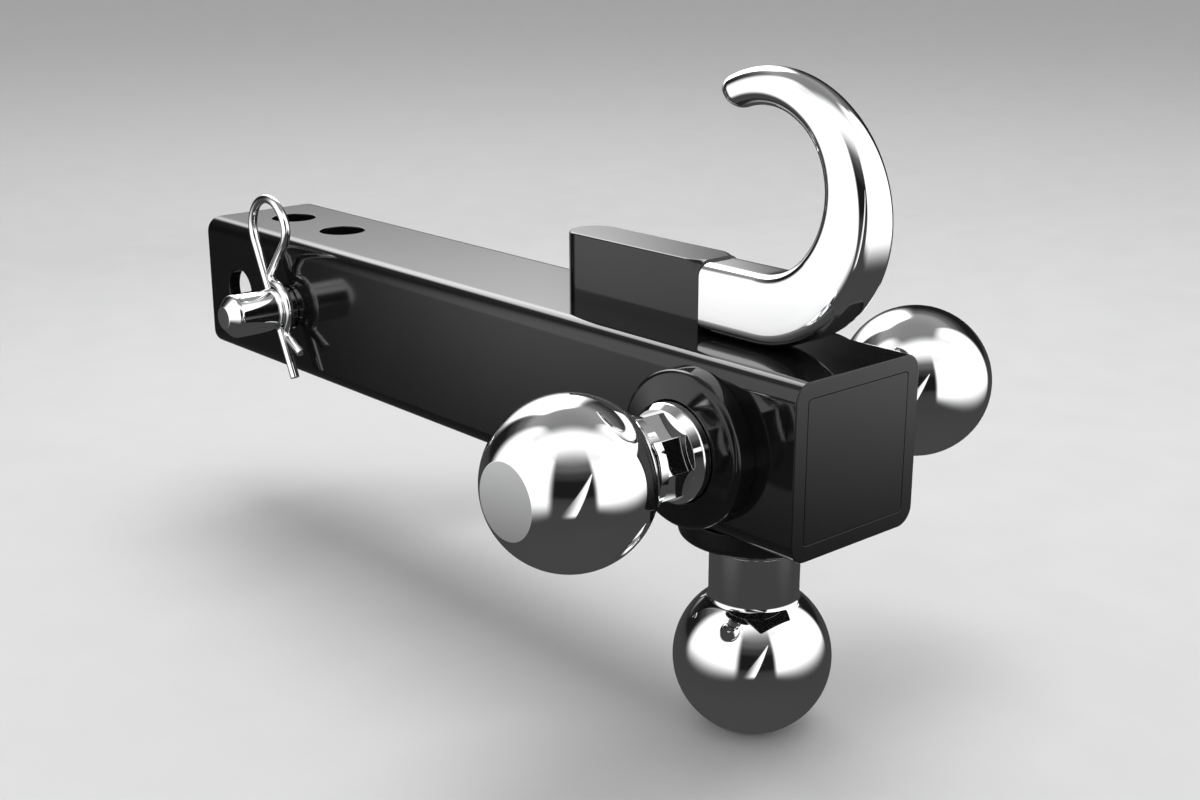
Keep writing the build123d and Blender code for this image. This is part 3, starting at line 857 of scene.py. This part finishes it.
class Paint:
    """A node material being built."""

    def __init__(self, name, metallic, ior=1.5):
        self.mat = bpy.data.materials.new(name)
        self.mat.use_nodes = True
        self.nodes = self.mat.node_tree.nodes
        self.links = self.mat.node_tree.links
        self.shader = self.nodes["Principled BSDF"]
        self.shader.inputs["Metallic"].default_value = metallic
        self.shader.inputs["IOR"].default_value = ior
        self.place = self.nodes.new("ShaderNodeTexCoord").outputs["Object"]
        self.normal = None

    def noise(self, scale, detail=3.0, rough=0.5, stretch=(1, 1, 1)):
        """Noise over the piece; scale is in waves per metre."""
        mapping = self.nodes.new("ShaderNodeMapping")
        mapping.inputs["Scale"].default_value = stretch
        tex = self.nodes.new("ShaderNodeTexNoise")
        tex.inputs["Scale"].default_value = scale
        tex.inputs["Detail"].default_value = detail
        tex.inputs["Roughness"].default_value = rough
        self.links.new(self.place, mapping.inputs["Vector"])
        self.links.new(mapping.outputs["Vector"], tex.inputs["Vector"])
        return tex.outputs["Fac"]

    def span(self, value, low, high, out_low, out_high):
        """Map a value from one range to another, clamped."""
        node = self.nodes.new("ShaderNodeMapRange")
        node.inputs["From Min"].default_value = low
        node.inputs["From Max"].default_value = high
        node.inputs["To Min"].default_value = out_low
        node.inputs["To Max"].default_value = out_high
        self.links.new(value, node.inputs["Value"])
        return node.outputs["Result"]

    def mix(self, factor, first, second):
        """Mix two colours by a value."""
        node = self.nodes.new("ShaderNodeMix")
        node.data_type = "RGBA"
        self.links.new(factor, node.inputs["Factor"])
        for socket, colour in ((node.inputs["A"], first), (node.inputs["B"], second)):
            if isinstance(colour, tuple):
                socket.default_value = (*colour, 1)
            else:
                self.links.new(colour, socket)
        return node.outputs["Result"]

    def add(self, first, second):
        """Sum of two values."""
        node = self.nodes.new("ShaderNodeMath")
        node.operation = "ADD"
        self.links.new(first, node.inputs[0])
        self.links.new(second, node.inputs[1])
        return node.outputs[0]

    def bump(self, height, distance, strength=1.0):
        """Raise the surface by a height pattern, distance in metres."""
        node = self.nodes.new("ShaderNodeBump")
        node.inputs["Distance"].default_value = distance
        node.inputs["Strength"].default_value = strength
        self.links.new(height, node.inputs["Height"])
        if self.normal is not None:
            self.links.new(self.normal, node.inputs["Normal"])
        self.normal = node.outputs["Normal"]

    def done(self, colour, roughness):
        """Join the colour, roughness and bump to the shader."""
        self.links.new(colour, self.shader.inputs["Base Color"])
        self.links.new(roughness, self.shader.inputs["Roughness"])
        if self.normal is not None:
            self.links.new(self.normal, self.shader.inputs["Normal"])
        return self.mat


def gloss_black():
    """Black gloss enamel with a little orange peel and faint smudges."""
    p = Paint("gloss_black", 0.0)
    smudge = p.noise(22, 5, 0.6)
    fine = p.noise(900, 2)
    peel = p.noise(260, 2, 0.4)
    rough = p.add(p.span(smudge, 0.35, 0.7, 0.045, 0.10), p.span(fine, 0.3, 0.7, 0.0, 0.02))
    colour = p.mix(p.span(smudge, 0.3, 0.75, 0, 1), (0.0055, 0.0055, 0.006), (0.0085, 0.0085, 0.009))
    p.bump(peel, 2.5e-6, 0.6)
    return p.done(colour, rough)


def chrome():
    """Polished chrome plate with faint polishing marks."""
    p = Paint("chrome", 1.0)
    haze = p.noise(30, 4, 0.55)
    marks = p.noise(420, 3, 0.6, (1.0, 0.08, 1.0))
    rough = p.add(p.span(haze, 0.35, 0.7, 0.018, 0.05), p.span(marks, 0.5, 0.8, 0.0, 0.02))
    colour = p.mix(p.span(haze, 0.3, 0.7, 0, 1), (0.86, 0.865, 0.875), (0.93, 0.93, 0.935))
    p.bump(p.noise(160, 2, 0.4), 1.2e-6, 0.5)
    return p.done(colour, rough)


def zinc_steel():
    """Zinc-plated hardware, greyish and slightly mottled."""
    p = Paint("zinc_steel", 1.0)
    mottle = p.noise(400, 4, 0.6)
    rough = p.span(mottle, 0.3, 0.7, 0.28, 0.42)
    colour = p.mix(p.span(mottle, 0.3, 0.7, 0, 1), (0.48, 0.49, 0.50), (0.62, 0.62, 0.61))
    p.bump(p.noise(1500, 2), 4e-6, 0.4)
    return p.done(colour, rough)


def bare_steel():
    """Sawn and turned bare steel with tool marks."""
    p = Paint("bare_steel", 1.0)
    marks = p.noise(1200, 2, 0.5, (0.05, 1.0, 1.0))
    stain = p.noise(60, 5, 0.6)
    rough = p.span(marks, 0.3, 0.7, 0.32, 0.5)
    colour = p.mix(p.span(stain, 0.3, 0.7, 0, 1), (0.30, 0.29, 0.28), (0.45, 0.45, 0.45))
    p.bump(marks, 1e-5, 0.5)
    return p.done(colour, rough)


MATERIALS = {
    "gloss_black": gloss_black(),
    "chrome": chrome(),
    "zinc_steel": zinc_steel(),
    "bare_steel": bare_steel(),
}

# ---------------------------------------------------------------- pieces on their bodies

PIECES = [
    (make_tube(), "ball_mount", "shank_tube", "gloss_black"),
    (make_cap(), "ball_mount", "end_cap", "gloss_black"),
    (make_boss("front_boss_ring", -Y, X), "ball_mount", "front_boss", "gloss_black"),
    (make_boss("rear_boss_ring", Y, X), "ball_mount", "rear_boss", "gloss_black"),
    (make_boss("bottom_boss_ring", -Z, X), "ball_mount", "bottom_boss", "gloss_black"),
    (make_block(), "ball_mount", "hook_block", "gloss_black"),
    (make_ball("front_tow_ball", -Y, Z, True), "ball_mount", "front_ball", "chrome"),
    (make_ball("rear_tow_ball", Y, Z, True), "ball_mount", "rear_ball", "chrome"),
    (make_ball("bottom_tow_ball", -Z, X, False), "ball_mount", "bottom_ball", "chrome"),
    (make_hook(), "ball_mount", "tow_hook", "chrome"),
    (make_pin(), "pin", "hitch_pin", "chrome"),
    (make_clip(), "clip", "hitch_clip", "chrome"),
]
for piece, body, node, slot in PIECES:
    piece.data.materials.append(MATERIALS[slot])
    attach(piece, body)
    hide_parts(node)

CARRIED = {
    "front_lock_washer": "zinc_steel",
    "rear_lock_washer": "zinc_steel",
    "bottom_lock_washer": "zinc_steel",
    "hook_block_screws": "zinc_steel",
    "hook_screw_washers": "zinc_steel",
    "head_block": "bare_steel",
}
for node, slot in CARRIED.items():
    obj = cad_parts[node]
    for holder in obj.material_slots:
        holder.material = MATERIALS[slot]

# ---------------------------------------------------------------- studio

HEAD = np.array([HEAD_X, 0.0, 0.0])

# The floor is in metres.
FLOOR_Z = float(cad_low[2]) - 0.0002
FLOOR_HALF = 6.0
BACKDROP_GREY = 0.62

# Reflected lights are in millimetres from the head.
CEILING_HALF = 700
CEILING_NEAR = -60
CEILING_FAR = 620
WEDGE_DISTANCE = 360


def floor_material():
    """Pale matt studio floor."""
    p = Paint("studio_floor", 0.0)
    grain = p.noise(40, 3)
    colour = p.mix(p.span(grain, 0.3, 0.7, 0, 1), (0.60, 0.60, 0.605), (0.62, 0.62, 0.62))
    return p.done(colour, p.span(grain, 0.3, 0.7, 0.7, 0.8))


def make_floor():
    """A wide plain floor that the polished metal doesn't mirror."""
    mesh = bpy.data.meshes.new("studio_floor")
    signs = ((-1, -1), (1, -1), (1, 1), (-1, 1))
    corners = [(x * FLOOR_HALF, y * FLOOR_HALF, FLOOR_Z) for x, y in signs]
    mesh.from_pydata(corners, [], [(0, 1, 2, 3)])
    obj = bpy.data.objects.new("studio_floor", mesh)
    mesh.materials.append(floor_material())
    bpy.context.scene.collection.objects.link(obj)
    obj.visible_glossy = False


def panel_material(name, strength, soft_x, soft_low, soft_high):
    """Diffuse glow that fades towards the panel's edges. Its u, v run 0 to 1 across the panel."""
    mat = bpy.data.materials.new(name)
    mat.use_nodes = True
    nodes, links = mat.node_tree.nodes, mat.node_tree.links
    nodes.clear()
    out = nodes.new("ShaderNodeOutputMaterial")
    glow = nodes.new("ShaderNodeEmission")
    uv = nodes.new("ShaderNodeTexCoord")
    split = nodes.new("ShaderNodeSeparateXYZ")
    links.new(uv.outputs["UV"], split.inputs[0])

    def edge(socket, low, high):
        node = nodes.new("ShaderNodeMapRange")
        node.interpolation_type = "SMOOTHSTEP"
        node.inputs["From Min"].default_value = low
        node.inputs["From Max"].default_value = high
        links.new(socket, node.inputs["Value"])
        return node.outputs["Result"]

    parts = [
        edge(split.outputs["X"], 0.0, soft_x[0]),
        edge(split.outputs["X"], 1.0, 1.0 - soft_x[1]),
        edge(split.outputs["Y"], 0.0, soft_low),
        edge(split.outputs["Y"], 1.0, 1.0 - soft_high),
    ]
    value = parts[0]
    for part in parts[1:]:
        node = nodes.new("ShaderNodeMath")
        node.operation = "MULTIPLY"
        links.new(value, node.inputs[0])
        links.new(part, node.inputs[1])
        value = node.outputs[0]
    scale = nodes.new("ShaderNodeMath")
    scale.operation = "MULTIPLY"
    scale.inputs[1].default_value = strength
    links.new(value, scale.inputs[0])
    links.new(scale.outputs[0], glow.inputs["Strength"])
    mix = nodes.new("ShaderNodeMixShader")
    clear = nodes.new("ShaderNodeBsdfTransparent")
    links.new(value, mix.inputs[0])
    links.new(clear.outputs[0], mix.inputs[1])
    links.new(glow.outputs[0], mix.inputs[2])
    links.new(mix.outputs[0], out.inputs["Surface"])
    return mat


def direction(azimuth, elevation):
    """Unit vector from angles in degrees."""
    a, e = math.radians(azimuth), math.radians(elevation)
    return np.array([math.cos(e) * math.cos(a), math.cos(e) * math.sin(a), math.sin(e)])


def make_panel(name, corners, strength, soft_x, soft_low, soft_high):
    """A soft light seen only in reflections. Corners run low left, low right, high right, high left."""
    mesh = bpy.data.meshes.new(name)
    mesh.from_pydata([tuple(c * MM) for c in corners], [], [(0, 1, 2, 3)])
    layer = mesh.uv_layers.new(name="UVMap")
    for loop, uv in zip(layer.data, ((0, 0), (1, 0), (1, 1), (0, 1))):
        loop.uv = uv
    mesh.materials.append(panel_material(name, strength, soft_x, soft_low, soft_high))
    obj = bpy.data.objects.new(name, mesh)
    bpy.context.scene.collection.objects.link(obj)
    obj.visible_camera = False
    obj.visible_diffuse = False
    obj.visible_shadow = False


def standing(azimuth, distance, left, right, low, high):
    """Corners of an upright panel at an azimuth and distance from the head."""
    middle = HEAD + distance * direction(azimuth, 0)
    across = direction(azimuth - 90, 0)
    return [
        middle + left * across + low * Z,
        middle - right * across + low * Z,
        middle - right * across + high * Z,
        middle + left * across + high * Z,
    ]


def ceiling(height):
    """Corners of a level panel over the head, on the side away from the back softbox."""
    outward = direction(-35, 0)
    across = direction(-125, 0)
    corners = [
        (CEILING_HALF, CEILING_NEAR),
        (-CEILING_HALF, CEILING_NEAR),
        (-CEILING_HALF, CEILING_FAR),
        (CEILING_HALF, CEILING_FAR),
    ]
    return [HEAD + u * across + v * outward + height * Z for u, v in corners]


make_floor()
make_panel("softbox_left", standing(-108, 400, 540, 436, -271, 1500), 1.35, (0.287, 0.154), 0.145, 0.5)
make_panel("softbox_right", standing(35, 420, 563, 563, -269, 1500), 1.45, (0.133, 0.133), 0.132, 0.5)
make_panel("softbox_back", standing(155, 760, 440, 430, -120, 1300), 5.6, (0.368, 0.247), 0.42, 0.3)
make_panel("softbox_top", ceiling(450), 1.3, (0.2, 0.2), 0.28, 0.6)


def wedge():
    """Corners of the slim light in the gap between the two front softboxes."""
    normal = direction(-37, 0)

    def at(azimuth, elevation):
        d = direction(azimuth, elevation)
        return HEAD + d * (WEDGE_DISTANCE / float(d @ normal))

    return [at(-64, -23), at(-44, -23), at(-19, 27), at(-22, 27)]


make_panel("slim_light", wedge(), 1.3, (0.9, 0.04), 0.15, 0.02)


def studio_world():
    """Plain pale surroundings; polished metal mirrors a darker room with a grey ceiling."""
    world = bpy.data.worlds.new("studio")
    bpy.context.scene.world = world
    world.use_nodes = True
    nodes, links = world.node_tree.nodes, world.node_tree.links
    nodes.clear()
    out = nodes.new("ShaderNodeOutputWorld")
    back = nodes.new("ShaderNodeBackground")
    coord = nodes.new("ShaderNodeTexCoord")
    split = nodes.new("ShaderNodeSeparateXYZ")
    links.new(coord.outputs["Generated"], split.inputs[0])
    ramp = nodes.new("ShaderNodeValToRGB")
    ramp.color_ramp.interpolation = "EASE"
    stops = [
        (0.0, 0.062), (0.40, 0.055), (0.47, 0.045), (0.53, 0.012), (0.66, 0.012),
        (0.73, 0.045), (0.80, 0.13), (0.88, 0.33), (1.0, 0.25),
    ]
    elements = ramp.color_ramp.elements
    while len(elements) < len(stops):
        elements.new(0.5)
    for element, (position, grey) in zip(elements, stops):
        element.position = position
        element.color = (grey, grey, grey, 1)
    height = nodes.new("ShaderNodeMapRange")
    height.inputs["From Min"].default_value = -1
    height.inputs["From Max"].default_value = 1
    links.new(split.outputs["Z"], height.inputs["Value"])
    links.new(height.outputs["Result"], ramp.inputs["Fac"])
    path = nodes.new("ShaderNodeLightPath")
    first = nodes.new("ShaderNodeMix")
    first.data_type = "RGBA"
    first.inputs["A"].default_value = (BACKDROP_GREY, BACKDROP_GREY, BACKDROP_GREY, 1)
    links.new(path.outputs["Is Glossy Ray"], first.inputs["Factor"])
    links.new(ramp.outputs["Color"], first.inputs["B"])
    links.new(first.outputs["Result"], back.inputs["Color"])
    links.new(back.outputs[0], out.inputs["Surface"])


def area_light(name, at, aim, size, power):
    """Soft area light for the floor and its shadows, not mirrored by the metal."""
    data = bpy.data.lights.new(name, "AREA")
    data.shape = "DISK"
    data.size = size
    data.energy = power
    obj = bpy.data.objects.new(name, data)
    bpy.context.scene.collection.objects.link(obj)
    z = unit(np.array(at) - np.array(aim))
    x = unit(np.cross(Y if abs(z[2]) > 0.9 else Z, z))
    y = np.cross(z, x)
    obj.matrix_world = Matrix((
        (x[0], y[0], z[0], at[0]),
        (x[1], y[1], z[1], at[1]),
        (x[2], y[2], z[2], at[2]),
        (0, 0, 0, 1),
    ))
    obj.visible_glossy = False


studio_world()
area_light("key", at=(0.1, 0.25, 1.5), aim=(0.12, 0.05, 0), size=1.3, power=18)

# ---------------------------------------------------------------- camera

CAMERA_AT = (0.52458, -0.33436, 0.14716)
CAMERA_LENS = 49.6
CAMERA_SENSOR = 36
BACK = unit(np.array([0.7160, -0.6334, 0.2935]))
RIGHT = unit(np.cross(Z, BACK))
UP = np.cross(BACK, RIGHT)
camera_data = bpy.data.cameras.new("camera")
camera_data.lens = CAMERA_LENS
camera_data.sensor_width = CAMERA_SENSOR
camera_data.sensor_fit = "HORIZONTAL"
camera_data.clip_start = 0.02
camera = bpy.data.objects.new("camera", camera_data)
camera.matrix_world = Matrix((
    (RIGHT[0], UP[0], BACK[0], CAMERA_AT[0]),
    (RIGHT[1], UP[1], BACK[1], CAMERA_AT[1]),
    (RIGHT[2], UP[2], BACK[2], CAMERA_AT[2]),
    (0, 0, 0, 1),
))
bpy.context.scene.collection.objects.link(camera)
bpy.context.scene.camera = camera
bpy.context.scene.view_settings.view_transform = "Standard"
